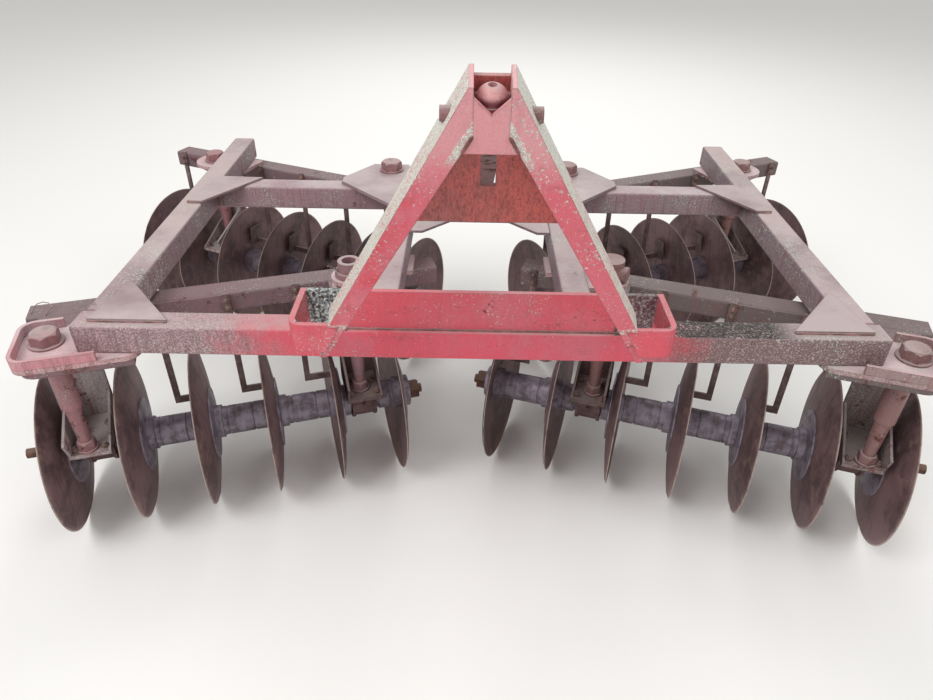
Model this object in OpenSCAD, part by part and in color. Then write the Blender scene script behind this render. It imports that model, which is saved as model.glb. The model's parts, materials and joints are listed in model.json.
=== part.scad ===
// Mounted tandem disc harrow with a triangular quick hitch.
// Millimetres. +X is to the right seen from the tractor, +Y points to the rear, +Z is up.
// The origin is on the ground below the middle of the whole machine.
// Distances to the rear are measured from the front beam's front face and moved at the end.

/* [Frame] */
// Height of the top of the frame above the ground
frame_top = 775; // [700:5:850]
// Length of the front beam, across the machine
frame_w = 2030; // [1900:10:2200]
// Outer width of the square frame tubes
tube = 80; // [70:1:90]
// Wall thickness of the frame tubes
tube_wall = 5; // [3:0.5:8]
// Outer corner radius of the tubes
tube_r = 8; // [6:1:12]
// Distance from the front beam's front face to the rear crossbeam's front face
rear_beam_y = 920; // [880:10:960]
// Distance from the front beam's front face to the rear ends of the side rails
rail_end_y = 1440; // [1400:10:1500]
// Distance of the inner rails' outer faces inside the frame's side
rail_inset = 714; // [700:2:725]
// Thickness of the gusset plates on top of the frame
gusset_t = 8; // [6:1:12]

/* [Hitch] */
// Forward lean of the hitch triangle
hitch_lean = 15; // [8:1:18]
// Angle of a leg's outer edge to the upright
leg_outer_angle = 27.8; // [27:0.2:28.6]
// Angle of a leg's inner edge to the upright
leg_inner_angle = 29; // [28.4:0.2:29.8]
// Height of the legs' tops, measured up the triangle from the pockets' rim
leg_top = 575; // [560:5:590]
// Depth of a leg, front to rear
leg_d = 76; // [66:2:86]
// Wall thickness of the legs
leg_wall = 6; // [4:0.5:8]
// Height above the frame at which the legs stand on the pockets
pocket_rise = 107; // [100:1:120]
// Depth of the pockets' plate, from its top edge down
pocket_h = 72; // [60:1:80]
// Thickness of the pocket and wall plate
strap_t = 14; // [10:1:16]
// Outer width over both pockets
pocket_span = 876; // [850:2:900]
// Distance from the front beam's front face forward to the pockets' front face
pocket_reach = 140; // [125:1:150]
// Outer corner radius of the pockets
pocket_r = 34; // [28:1:40]
// Diameter of the cross pin through the head
head_pin_d = 28; // [24:1:32]

/* [Discs] */
// Disc diameter
disc_d = 510; // [480:5:540]
// Disc thickness
disc_t = 5; // [4:0.5:7]
// Radius of the disc's concave face
dish_r = 1100; // [950:10:1300]
// Diameter of the flat centre of a disc
disc_flat_d = 120; // [110:2:140]
// Distance between discs along the axle
disc_pitch = 200; // [195:1:215]
// Side of the square axle
axle_side = 34; // [30:1:38]
// Play between the square axle and what it carries, all round
axle_play = 0.5; // [0.3:0.1:1]
// Diameter of the spools between the discs
spool_d = 92; // [80:1:98]
// Diameter of the collars at the ends of the spools
collar_d = 104; // [100:1:112]
// Diameter of the backing plate behind each disc
backing_d = 224; // [200:2:240]
// Thickness of the backing plate
backing_t = 5; // [4:0.5:7]

/* [Gangs] */
// Angle of the front gangs to the front beam
front_angle = 17.2; // [15:0.2:19]
// Angle of the rear gangs to the front beam
rear_angle = 22.8; // [20:0.2:25]
// Distance of the front gangs' outermost disc rim outside the frame's side
front_overhang = 230; // [205:5:255]
// Distance of that rim's centre behind the front beam's front face
front_start_y = 123; // [110:1:140]
// Distance of the rear gangs' innermost disc rim inside the frame's side
rear_inset = 775; // [750:5:790]
// Distance of that rim's centre behind the front beam's front face
rear_start_y = 1034; // [1020:2:1060]
// Number of discs on the left front gang
left_front_discs = 6; // [5:1:7]
// Number of discs on each of the other gangs
other_discs = 7; // [6:1:7]
// Height of the gang beams
beam_h = 60; // [50:1:70]
// Depth of the gang beams, front to rear
beam_d = 80; // [70:1:90]
// Distance of the gang beam's front face behind the axle line
beam_back = 50; // [45:1:60]

/* [Hangers] */
// Width of a hanger along the axle
hanger_w = 112; // [108:1:116]
// Distance of a hanger's middle from the hub face of the disc before it
hanger_step = 75; // [73:1:78]
// Distance of the rear outer hangers' middle from the hub face of the disc before them
outer_rear_step = 110; // [104:1:111]
// Distance of the front outer hangers' front edge in front of the axle line
hanger_front = 140; // [134:1:146]
// Distance of the other hangers' front edge in front of the axle line
hanger_short = 100; // [95:1:105]
// Thickness of the hanger plates
hanger_t = 8; // [6:1:10]
// Thickness of the hanger's base plate
base_t = 14; // [10:1:18]
// Outer diameter of the bearing housings
housing_d = 120; // [112:1:124]
// Length of the bearing housings along the axle
housing_l = 80; // [70:1:86]
// Journal diameter inside the housings
journal_d = 76; // [70:1:80]
// Radial gap between journal and housing
journal_gap = 0.3; // [0.2:0.05:0.5]
// Distance of the front outer pivots in front of the axle line
outer_pivot_y = 113; // [108:1:116]
// Distance of the front inner pivots in front of the axle line
inner_pivot_y = 42; // [36:1:50]
// Distance of the rear pivots behind the axle line
rear_pivot_y = 8; // [4:1:12]
// Thickness of the bracket plates
bracket_t = 14; // [10:1:16]
// Distance of the front brackets' front edge in front of the axle line
bracket_front = 233; // [226:1:240]
// Radius of the front brackets' outer corners
bracket_r = 42; // [30:1:50]
// Height of the flat bar round the front brackets' edge
rim_h = 26; // [20:1:30]
// Diameter of the pivot bolts
pivot_d = 32; // [28:1:36]
// Width of the pivots' hexagon heads across the flats
head_af = 66; // [60:1:70]

/* [Scrapers] */
// Width of a scraper shank
shank_w = 18; // [14:1:22]
// Thickness of a scraper shank
shank_t = 8; // [6:1:10]

/* [Hidden] */
$fn = 64;
frame_bottom = frame_top - tube;
axle_z = disc_d / 2;
disc_r = disc_d / 2;
half_w = frame_w / 2;
// Clear width between the two inner rails
inner_gap = frame_w - 2 * (rail_inset + tube);
// Distance of each row's first disc rim from the machine's centre line
front_start_x = half_w + front_overhang;
rear_start_x = half_w - rear_inset;

// Depth of the disc's bowl at a radius, from its flat centre
function bowl(r) = sqrt(dish_r * dish_r - disc_flat_d * disc_flat_d / 4) - sqrt(dish_r * dish_r - r * r);
dish = bowl(disc_r);

// Heights in a gang's own frame, measured from the axle line
beam_top_z = frame_bottom - bracket_t - axle_z;
plate_low_z = beam_top_z - bracket_t;
base_z = housing_d / 2;
hanger_gaps = [0, 4];
// Top of the frame in a gang's own frame
frame_z = frame_top - axle_z;

// Columns: row, mirrored to the left, start x, start y, angle, number of discs
ROW = 0;
LEFT = 1;
START_X = 2;
START_Y = 3;
ANGLE = 4;
DISCS = 5;
FRONT_LEFT = ["front", true, front_start_x, front_start_y, front_angle, left_front_discs];
FRONT_RIGHT = ["front", false, front_start_x, front_start_y, front_angle, other_discs];
REAR_LEFT = ["rear", true, rear_start_x, rear_start_y, rear_angle, other_discs];
REAR_RIGHT = ["rear", false, rear_start_x, rear_start_y, rear_angle, other_discs];

// Middle of the machine between the foremost and the rearmost point
function foremost() = -pocket_reach - plane_out - leg_top * sin(hitch_lean);
function rearmost() = rear_start_y + (other_discs - 1) * disc_pitch * sin(rear_angle) + disc_r * cos(rear_angle)
    + edge_t * sin(rear_angle);
module placed() {
    translate([0, -(foremost() + rearmost()) / 2, 0]) children();
}

faded_red = "#a4363b";
bright_red = "#c8323c";
rusty_red = "#7d5a5e";
dark_rust = "#4a3730";
polished = "#5b4a50";

// A square with round corners, centred on the origin
module rounded_rect(w, h, r) {
    square([w - 2 * r, h], center = true);
    square([w, h - 2 * r], center = true);
    for (sx = [-1, 1], sy = [-1, 1])
        translate([sx * (w / 2 - r), sy * (h / 2 - r)]) circle(r);
}

// A hollow tube along +X from the origin, centred on that line
module tube_x(length, w = tube, h = tube, wall = tube_wall, r = tube_r) {
    rotate([90, 0, 90])
        linear_extrude(length)
            difference() {
                rounded_rect(w, h, r);
                rounded_rect(w - 2 * wall, h - 2 * wall, r - wall / 2);
            }
}

// A hollow frame tube along +Y between two distances, its middle at x
module rail(x, y0, y1) {
    translate([x, y0, frame_top - tube / 2]) rotate([0, 0, 90]) tube_x(y1 - y0);
}

// Both sides of the machine
module both_sides() {
    children();
    mirror([1, 0, 0]) children();
}

// A plate on the frame, from its outline seen from above
module flat_plate(z, t, outline) {
    translate([0, 0, z]) linear_extrude(t) polygon(outline);
}

// Frame
module front_beam() {
    placed() color(bright_red)
        translate([-half_w, tube / 2, frame_top - tube / 2]) tube_x(frame_w);
}

module side_rail_left() {
    placed() color(rusty_red) rail(-half_w + tube / 2, tube, rail_end_y);
}

module side_rail_right() {
    placed() color(rusty_red) rail(half_w - tube / 2, tube, rail_end_y);
}

module rear_crossbeam() {
    placed() color(rusty_red)
        translate([-half_w + tube, rear_beam_y + tube / 2, frame_top - tube / 2])
            tube_x(frame_w - 2 * tube);
}

module inner_rail_left() {
    placed() color(rusty_red) rail(-inner_gap / 2 - tube / 2, tube, rear_beam_y);
}

module inner_rail_right() {
    placed() color(rusty_red) rail(inner_gap / 2 + tube / 2, tube, rear_beam_y);
}

cap_t = 5;
module frame_end_caps() {
    placed() color(rusty_red) both_sides() {
        translate([half_w, tube / 2, frame_top - tube / 2])
            rotate([90, 0, 90]) linear_extrude(cap_t) rounded_rect(tube, tube, tube_r);
        translate([half_w - tube / 2, rail_end_y, frame_top - tube / 2])
            rotate([90, 0, 180]) linear_extrude(cap_t) rounded_rect(tube, tube, tube_r);
    }
}

// Reach of the corner gussets along the rail and along the beam
gusset_reach = 150;
gusset_edge = 30;
module corner_gussets() {
    inner_x = half_w - tube;
    placed() color(rusty_red) both_sides() {
        flat_plate(frame_top, gusset_t, [
            [half_w - gusset_edge, tube / 3], [inner_x - gusset_reach, tube / 3],
            [inner_x + tube / 4, tube + gusset_reach]]);
        flat_plate(frame_top, gusset_t, [
            [half_w - gusset_edge, rear_beam_y - gusset_reach], [inner_x, rear_beam_y - gusset_reach],
            [inner_x - gusset_reach, rear_beam_y + tube * 0.9], [inner_x, rear_beam_y + tube]]);
    }
}

// Plates on top of crossbeam and inner rails that carry the rear gangs' inner pivots
plate_t = 12;
module pivot_plates() {
    inner_x = inner_gap / 2;
    pivot = pivot_xy(REAR_RIGHT, hanger_gaps[0]);
    placed() color(rusty_red) both_sides()
        difference() {
            flat_plate(frame_top, plate_t, [
                [inner_x + 10, rear_beam_y - 160], [inner_x + tube, rear_beam_y - 160],
                [inner_x + tube + 190, rear_beam_y + 40], [inner_x + tube + 190, rear_beam_y + tube],
                [pivot[0] + 70, pivot[1] + 60], [pivot[0] - 60, pivot[1] + 60],
                [inner_x + 10, rear_beam_y + tube]]);
            translate([pivot[0], pivot[1], frame_top - 1])
                cylinder(h = plate_t + 2, d = pivot_d + 1);
        }
}

// Plate between the inner rails on which the stay of the hitch stands, cut back in the middle
foot_plate_l = 335;
foot_plate_lip = 40;
foot_plate_cut = 85;
foot_plate_mid = 95;
module mast_foot_plate() {
    edge = inner_gap / 2;
    front = rear_beam_y - foot_plate_l;
    placed() color(rusty_red) flat_plate(frame_top - gusset_t, gusset_t, [
        [-edge, front], [-edge + foot_plate_lip, front],
        [-foot_plate_mid, front + foot_plate_cut], [foot_plate_mid, front + foot_plate_cut],
        [edge - foot_plate_lip, front], [edge, front],
        [edge, rear_beam_y], [-edge, rear_beam_y]]);
}

// Hitch
// The triangle lies in a leaning plane: x across, y up the plane, z forward out of its front face
plane_out = 6;
module in_hitch_plane() {
    translate([0, -pocket_reach - plane_out, frame_top + pocket_rise])
        rotate([90 + hitch_lean, 0, 0]) children();
}

// Heights up the plane at which the legs' inner and outer edges would meet
inner_apex = 543;
outer_apex = 650;
head_half = 31;
function inner_x(v) = max((inner_apex - v) * tan(leg_inner_angle), head_half);
function outer_x(v) = (outer_apex - v) * tan(leg_outer_angle);
head_v = inner_apex - head_half / tan(leg_inner_angle);

// Outline of the right leg in the plane, made thinner all round by a wall
module leg_outline(v0, v1, inset = 0) {
    a = inset / cos(leg_inner_angle);
    polygon([
        [inner_x(v0) + a, v0], [outer_x(v0) - a, v0], [outer_x(v1) - a, v1],
        [inner_x(v1) + a, v1], [inner_x(head_v) + a, head_v]]);
}

solid_top = 38;
foot_drop = 105;
foot_strip = 16;
foot_d = 54;
pin_v = 505;
pin_depth = 40;
module hitch_leg() {
    difference() {
        in_hitch_plane() {
            difference() {
                translate([0, 0, -leg_d]) linear_extrude(leg_d) leg_outline(-30, leg_top);
                translate([0, 0, -leg_d + leg_wall]) linear_extrude(leg_d - 2 * leg_wall)
                    leg_outline(-60, leg_top - solid_top, leg_wall);
                translate([0, pin_v, -pin_depth]) rotate([0, 90, 0])
                    cylinder(h = 200, d = head_pin_d + 1);
            }
        }
        translate([0, -pocket_reach - 200, frame_top]) cube([600, 600, pocket_rise]);
    }
    in_hitch_plane()
        translate([0, 0, -foot_d]) linear_extrude(foot_d)
            polygon([
                [inner_x(30), 30], [inner_x(30) + foot_strip, 30],
                [inner_x(-foot_drop) + foot_strip, -foot_drop],
                [inner_x(-foot_drop), -foot_drop]]);
}

module hitch_leg_right() {
    placed() color(bright_red) hitch_leg();
}

module hitch_leg_left() {
    placed() color(bright_red) mirror([1, 0, 0]) hitch_leg();
}

// The plate that closes the front between the legs, with the V notch in its top
front_plate_t = 8;
front_plate_v = 452;
notch_v = 525;
notch_top = 556;
module hitch_front_plate() {
    placed() color(bright_red) in_hitch_plane()
        translate([0, 0, -front_plate_t]) linear_extrude(front_plate_t)
            polygon([
                [-inner_x(front_plate_v), front_plate_v], [inner_x(front_plate_v), front_plate_v],
                [head_half, head_v], [head_half, notch_top], [0, notch_v],
                [-head_half, notch_top], [-head_half, head_v]]);
}

// The latch plate in the rear plane of the legs, with the latch window
latch_t = 10;
latch_v = 250;
latch_top = 560;
window_w = 28;
window_v = [338, 410];
module hitch_latch_plate() {
    placed() color(faded_red) in_hitch_plane()
        translate([0, 0, -leg_d]) linear_extrude(latch_t)
            difference() {
                polygon([
                    [-inner_x(latch_v), latch_v], [inner_x(latch_v), latch_v],
                    [head_half, head_v], [head_half, latch_top],
                    [-head_half, latch_top], [-head_half, head_v]]);
                translate([-window_w / 2, window_v[0]]) square([window_w, window_v[1] - window_v[0]]);
            }
}

// The round stop inside the head: a floor between the plates, and a domed cap with a hole
cap_d = 52;
cap_h = 14;
cap_v = 532;
cap_floor = 8;
module hitch_cap() {
    depth = leg_d - front_plate_t - latch_t;
    placed() color(rusty_red) in_hitch_plane() {
        translate([-head_half, cap_v - cap_floor, -leg_d + latch_t]) cube([2 * head_half, cap_floor, depth]);
        translate([0, cap_v, -front_plate_t - depth / 2]) rotate([-90, 0, 0])
            difference() {
                union() {
                    cylinder(h = cap_h, d = cap_d);
                    translate([0, 0, cap_h]) intersection() {
                        translate([0, 0, -cap_h]) sphere(r = sqrt(cap_h * cap_h + cap_d * cap_d / 4));
                        cylinder(h = cap_d, d = cap_d);
                    }
                }
                translate([0, 0, 5]) cylinder(h = cap_d, d = 15);
            }
    }
}

pin_out = 12;
module hitch_pin() {
    half = outer_x(pin_v) + pin_out;
    placed() color(rusty_red) in_hitch_plane()
        translate([0, pin_v, -pin_depth]) rotate([0, 90, 0])
            translate([0, 0, -half]) cylinder(h = 2 * half, d = head_pin_d);
}

// The wall on the front beam with a pocket bent from the same plate at each end
wall_y = 14;
module hitch_strap() {
    half = pocket_span / 2;
    front = -pocket_reach;
    placed() color(bright_red) {
        translate([-half, wall_y, frame_top]) cube([2 * half, strap_t, pocket_rise]);
        both_sides() difference() {
            translate([0, 0, frame_top + pocket_rise - pocket_h]) linear_extrude(pocket_h)
                intersection() {
                    difference() {
                        pocket_outline(half, front, pocket_r, 0);
                        pocket_outline(half, front, pocket_r, strap_t);
                    }
                    translate([half - 200, front - 1]) square([202, wall_y - front + 1]);
                }
            // slanted end along the leg's inner edge
            in_hitch_plane() translate([0, 0, -80]) linear_extrude(160)
                polygon([
                    [inner_x(60) + foot_strip - 300, 60], [inner_x(60) + foot_strip, 60],
                    [inner_x(-160) + foot_strip, -160], [inner_x(-160) - 300, -160]]);
        }
    }
}

module pocket_outline(half, front, r, inset) {
    translate([-half + inset, front + r]) square([2 * (half - inset), 400]);
    translate([-half + r, front + inset]) square([2 * (half - r), 400]);
    for (side = [-1, 1])
        translate([side * (half - r), front + r]) circle(r - inset);
}

// The stay from the back of the latch plate down to the plate between the inner rails
stay_v = 500;
stay_foot_y = 800;
stay_w = 60;
stay_h = 40;
module hitch_stay() {
    top_y = -pocket_reach - plane_out - stay_v * sin(hitch_lean) + leg_d * cos(hitch_lean);
    top_z = frame_top + pocket_rise + stay_v * cos(hitch_lean) + leg_d * sin(hitch_lean);
    dy = stay_foot_y - top_y;
    dz = top_z - frame_top;
    length = sqrt(dy * dy + dz * dz);
    placed() color(rusty_red) difference() {
        translate([0, stay_foot_y, frame_top])
            rotate([0, 0, -90]) rotate([0, -atan2(dz, dy), 0])
                translate([-stay_h, 0, 0]) tube_x(length + 2 * stay_h, stay_w, stay_h, tube_wall, 6);
        translate([-100, stay_foot_y - 300, frame_top - 300]) cube([200, 600, 300]);
        in_hitch_plane() translate([-100, 200, -leg_d]) cube([200, 600, 400]);
    }
}

// Gangs
// Places what is drawn in a gang's own frame: x along the axle from its first disc, y to the rear,
// z up from the axle line. The first disc's rim centre is the gang's origin.
module at_gang(g) {
    side = g[ROW] == "front" ? -1 : 1;
    mirror([(g[LEFT] ? -1 : 1) == side ? 0 : 1, 0, 0])
        translate([side * g[START_X], g[START_Y], axle_z])
            rotate([0, 0, g[ANGLE]]) children();
}

function hub_x(k) = k * disc_pitch + dish;
function is_front(g) = g[ROW] == "front";
// The outer hanger is the first of a front gang and the second of a rear one
function is_outer(g, gap) = gap == hanger_gaps[is_front(g) ? 0 : 1];
function hanger_x(g, gap) = hub_x(gap) + (!is_front(g) && is_outer(g, gap) ? outer_rear_step : hanger_step);

// A pivot bolt stands a little before the hanger's middle
pivot_dx = -8;
function pivot_x(g, gap) = hanger_x(g, gap) + pivot_dx;
function pivot_y(g, gap) = !is_front(g) ? rear_pivot_y : is_outer(g, gap) ? -outer_pivot_y : -inner_pivot_y;
function turned(g, x, y) = [x * cos(g[ANGLE]) - y * sin(g[ANGLE]), x * sin(g[ANGLE]) + y * cos(g[ANGLE])];
function pivot_xy(g, gap) =
    let (p = turned(g, pivot_x(g, gap), pivot_y(g, gap)))
    [(is_front(g) ? -1 : 1) * g[START_X] + p[0], g[START_Y] + p[1]];

beam_start = 10;
beam_end = 1180;
rear_beam_start = -40;
cheek_end = 550;
beam_cheek_h = 120;
cheek_plate_t = 8;
module gang_beam(g) {
    front = is_front(g);
    start = front ? beam_start : rear_beam_start;
    cheek_start = hanger_x(g, 0) + hanger_w / 2 + 20;
    placed() color(rusty_red) at_gang(g) {
        translate([start, beam_back + beam_d / 2, beam_top_z - beam_h / 2])
            tube_x(beam_end - start, beam_d, beam_h, tube_wall, tube_r);
        if (front)
            translate([cheek_start, beam_back - cheek_plate_t, beam_top_z - beam_cheek_h])
                cube([cheek_end - cheek_start, cheek_plate_t, beam_cheek_h]);
        // plates at the pivots, welded to the beam's front
        for (gap = hanger_gaps)
            translate([0, 0, plate_low_z]) linear_extrude(bracket_t)
                difference() {
                    if (front && is_outer(g, gap))
                        lower_outline();
                    else
                        translate([pivot_x(g, gap), pivot_y(g, gap)]) {
                            circle(ear_r);
                            translate([-ear_r, 0]) square([2 * ear_r, beam_back - pivot_y(g, gap)]);
                        }
                    translate([pivot_x(g, gap), pivot_y(g, gap)]) circle(d = pivot_d + 1);
                    translate([-200, beam_back]) square([2000, 400]);
                }
    }
}

// The lower plate under a front bracket, from its outer end to the beam
lower_out = 42;
lower_in = 312;
ear_r = 58;
module lower_outline() {
    corner = bracket_r;
    translate([lower_out + corner, -bracket_front + corner]) circle(corner);
    translate([lower_out + corner, -bracket_front]) square([lower_in - lower_out - corner, 2 * corner]);
    translate([lower_out, -bracket_front + corner]) square([lower_in - lower_out, bracket_front + beam_back - corner]);
}

// A hanger: base plate on the bearing, a web up to the beam and a gusset at each side
nose = 25;
nose_z = 130;
tall_side_z = 220;
low_side_z = 165;
module hanger(front) {
    low = base_z + base_t;
    translate([-hanger_w / 2, -front, base_z]) cube([hanger_w, front + beam_back, base_t]);
    translate([-hanger_w / 2, 0, 0]) rotate([90, 0, 90]) linear_extrude(hanger_t)
        polygon([[-front, low], [-front - nose, nose_z], [beam_back, tall_side_z], [beam_back, low]]);
    translate([hanger_w / 2 - hanger_t, 0, 0]) rotate([90, 0, 90]) linear_extrude(hanger_t)
        polygon([[-front, low], [beam_back, low_side_z], [beam_back, low]]);
    translate([-hanger_w / 2, beam_back - hanger_t, low]) cube([hanger_w, hanger_t, plate_low_z - low]);
}

module gang_hangers(g) {
    placed() color(rusty_red) at_gang(g)
        for (gap = hanger_gaps)
            difference() {
                translate([hanger_x(g, gap), 0, 0])
                    hanger(is_front(g) && is_outer(g, gap) ? hanger_front : hanger_short);
                translate([pivot_x(g, gap), pivot_y(g, gap), base_z - 1]) cylinder(h = base_t + 2, d = pivot_d + 1);
            }
}

// A bearing housing with a rim at each end, and its flat top under the hanger's base
housing_rim_l = 10;
housing_waist = 5;
module gang_bearings(g) {
    placed() color(dark_rust) at_gang(g)
        for (gap = hanger_gaps)
            translate([hanger_x(g, gap), 0, 0]) difference() {
                union() {
                    translate([-housing_l / 2, 0, 0]) rotate([0, 90, 0])
                        cylinder(h = housing_l, d = housing_d - 2 * housing_waist);
                    for (x = [-housing_l / 2, housing_l / 2 - housing_rim_l])
                        translate([x, 0, 0]) rotate([0, 90, 0]) cylinder(h = housing_rim_l, d = housing_d);
                    translate([-housing_l / 2, -housing_d / 2 + housing_waist, 0])
                        cube([housing_l, housing_d - 2 * housing_waist, base_z]);
                }
                translate([-housing_l, 0, 0]) rotate([0, 90, 0])
                    cylinder(h = 2 * housing_l, d = journal_d + 2 * journal_gap);
            }
}

// Bracket plates at the outer pivots, bolted through the plates of the gangs below them
bracket_out = 25;
bracket_in = 330;
bracket_back = 35;
module bracket_outline(inset) {
    w = bracket_in - bracket_out;
    h = bracket_front - bracket_back;
    translate([bracket_out + w / 2, -bracket_back - h / 2])
        rounded_rect(w - 2 * inset, h - 2 * inset, bracket_r - inset);
}

// Two lugs on each inner rail hold the front gangs' inner posts
lug_t = 12;
lug_r = 54;
lug_rises = [6, 36];
lug_play = 0.2;
module post_lugs() {
    post = pivot_xy(FRONT_LEFT, hanger_gaps[1]);
    for (rise = lug_rises)
        translate([post[0], post[1], frame_bottom + rise]) linear_extrude(lug_t)
            difference() {
                union() {
                    circle(lug_r);
                    translate([0, -lug_r]) square([-post[0] - inner_gap / 2 - tube, 2 * lug_r]);
                }
                circle(d = sleeve_d + 2 * lug_play);
            }
}

rear_bracket_r = 78;
rear_bracket_reach = 180;
spacer_w = 110;
module gang_brackets() {
    placed() color(faded_red) {
        for (g = [FRONT_LEFT, FRONT_RIGHT])
            at_gang(g) translate([0, 0, beam_top_z]) linear_extrude(bracket_t)
                difference() {
                    bracket_outline(0);
                    translate([pivot_x(g, hanger_gaps[0]), pivot_y(g, hanger_gaps[0])]) circle(d = pivot_d + 1);
                }
        // spacer plates between the front gangs' beams and the inner rails
        both_sides() {
            x = inner_gap / 2 + tube / 2;
            y = front_start_y + (front_start_x - x) * tan(front_angle)
                + (beam_back + beam_d / 2) / cos(front_angle);
            translate([x - spacer_w / 2, y - spacer_w / 2, frame_bottom - bracket_t])
                cube([spacer_w, spacer_w, bracket_t]);
            post_lugs();
        }
        for (g = [REAR_LEFT, REAR_RIGHT])
            at_gang(g) translate([pivot_x(g, hanger_gaps[1]), pivot_y(g, hanger_gaps[1]), beam_top_z])
                linear_extrude(bracket_t) difference() {
                    union() {
                        circle(rear_bracket_r);
                        translate([-rear_bracket_reach, -rear_bracket_r])
                            square([rear_bracket_reach, 2 * rear_bracket_r]);
                    }
                    circle(d = pivot_d + 1);
                }
    }
}

// A flat bar stands on the edge of each front bracket, round its outer end
rim_t = 10;
rim_front_end = 228;
rim_back_end = 131;
module bracket_rims() {
    placed() color(bright_red)
        for (g = [FRONT_LEFT, FRONT_RIGHT])
            at_gang(g) translate([0, 0, beam_top_z + bracket_t]) linear_extrude(rim_h)
                difference() {
                    bracket_outline(0);
                    bracket_outline(rim_t);
                    translate([rim_front_end, -bracket_front - 10]) square([500, 100]);
                    translate([rim_back_end, -bracket_back - 100]) square([500, 200]);
                }
}

head_h = 30;
head_chamfer = 6;
washer_d = 88;
washer_t = 5;
pipe_d = 56;
pipe_low = 230;
neck_d = 40;
nut_h = 26;
nut_washer_t = 6;
sleeve_d = 84;
sleeve_rise = 78;
// A hexagon with its corners turned away at the top
module hex_head(af, h) {
    intersection() {
        rotate([0, 0, 30]) cylinder(h = h, d = af / cos(30), $fn = 6);
        union() {
            cylinder(h = h - head_chamfer, d = 2 * af);
            translate([0, 0, h - head_chamfer]) cylinder(h = head_chamfer, d1 = af / cos(30), d2 = af * 0.94);
        }
    }
}

// What every pivot has below the gang's plate: pipe, tapered neck, nut and washer on the base
module pivot_foot() {
    low = base_z + base_t;
    neck_low = low + nut_washer_t + nut_h;
    translate([0, 0, base_z]) cylinder(h = plate_low_z - base_z, d = pivot_d);
    translate([0, 0, low]) cylinder(h = nut_washer_t, d = pipe_d + 4);
    translate([0, 0, low + nut_washer_t]) hex_head(pipe_d - 10, nut_h);
    translate([0, 0, neck_low]) cylinder(h = pipe_low - neck_low, d1 = neck_d - 6, d2 = neck_d + 4);
    translate([0, 0, pipe_low]) cylinder(h = plate_low_z - pipe_low, d = pipe_d);
}

// A pivot that stands on a plate of the frame, with its bolt head on a washer
module headed_pivot(top_z) {
    pivot_foot();
    translate([0, 0, plate_low_z]) cylinder(h = top_z - plate_low_z, d = pivot_d);
    translate([0, 0, top_z]) cylinder(h = washer_t, d = washer_d);
    translate([0, 0, top_z + washer_t]) hex_head(head_af, head_h);
}

// The front gangs' inner pivots turn in posts beside the inner rails, held by two lugs
post_d = 65;
post_bore_d = 40;
open_top_z = 15;
capped_top_z = 22;

// The left post has lost its pin: it is open at the top
module open_post() {
    pivot_foot();
    translate([0, 0, plate_low_z]) cylinder(h = bracket_t, d = pivot_d);
    translate([0, 0, beam_top_z]) difference() {
        union() {
            cylinder(h = sleeve_rise, d = sleeve_d);
            cylinder(h = frame_z + open_top_z - beam_top_z, d = post_d);
        }
        translate([0, 0, 1]) cylinder(h = 2 * frame_z, d = post_bore_d);
    }
}

// The right post is closed by a round cap and has a boss with a screw at its side
cap_post_d = 72;
cap_post_t = 12;
boss_d = 46;
boss_l = 50;
boss_turn = -80;
boss_drop = 28;
module capped_post() {
    pivot_foot();
    top = frame_z + capped_top_z;
    translate([0, 0, plate_low_z]) cylinder(h = top - plate_low_z, d = pivot_d);
    translate([0, 0, beam_top_z]) cylinder(h = sleeve_rise, d = sleeve_d);
    translate([0, 0, beam_top_z + sleeve_rise]) cylinder(h = top - beam_top_z - sleeve_rise, d = post_d);
    translate([0, 0, top]) cylinder(h = cap_post_t, d = cap_post_d);
    translate([0, 0, top - boss_drop]) rotate([90, 0, boss_turn]) cylinder(h = boss_l, d = boss_d);
}

module gang_pivots(g) {
    placed() color(rusty_red) at_gang(g)
        for (gap = hanger_gaps)
            translate([pivot_x(g, gap), pivot_y(g, gap), 0])
                if (is_outer(g, gap))
                    headed_pivot(beam_top_z + bracket_t);
                else if (g[ROW] == "rear") {
                    headed_pivot(frame_z + plate_t);
                    translate([0, 0, beam_top_z]) cylinder(h = frame_z - beam_top_z, d = post_d);
                }
                else if (g[LEFT])
                    open_post();
                else
                    capped_post();
}

// A scraper: a shank on the beam's front face, an arm and a blade that follows the bowl
shank_x = -100;
shank_low = 72;
shank_over = 8;
arm_h = 22;
blade_t = 6;
blade_y = [4, 66];
blade_z = [75, 155];
blade_gap = 6;
module scraper(g, k) {
    on_cheek = is_front(g) && hub_x(k) + shank_x + shank_w < cheek_end;
    face = on_cheek ? beam_back - cheek_plate_t : beam_back;
    low_r = sqrt(blade_z[0] * blade_z[0] + blade_y[1] * blade_y[1]);
    high_r = sqrt(blade_z[1] * blade_z[1] + blade_y[1] * blade_y[1]);
    low_x = -bowl(low_r) - blade_gap;
    high_x = -bowl(high_r) - blade_gap;
    translate([hub_x(k), 0, 0]) {
        translate([shank_x, face - shank_t, shank_low])
            cube([shank_w, shank_t, beam_top_z + shank_over - shank_low]);
        translate([shank_x, face - shank_t, shank_low])
            cube([low_x - blade_t / 2 - shank_x, shank_t, arm_h]);
        translate([0, blade_y[1], 0]) rotate([90, 0, 0])
            linear_extrude(blade_y[1] - blade_y[0])
                polygon([
                    [low_x, blade_z[0]], [high_x, blade_z[1]],
                    [high_x - blade_t, blade_z[1]], [low_x - blade_t, blade_z[0]]]);
    }
}

module gang_scrapers(g) {
    placed() color(dark_rust) at_gang(g)
        for (k = [2:g[DISCS] - 1])
            if (k != hanger_gaps[1] + 1) scraper(g, k);
}

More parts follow.
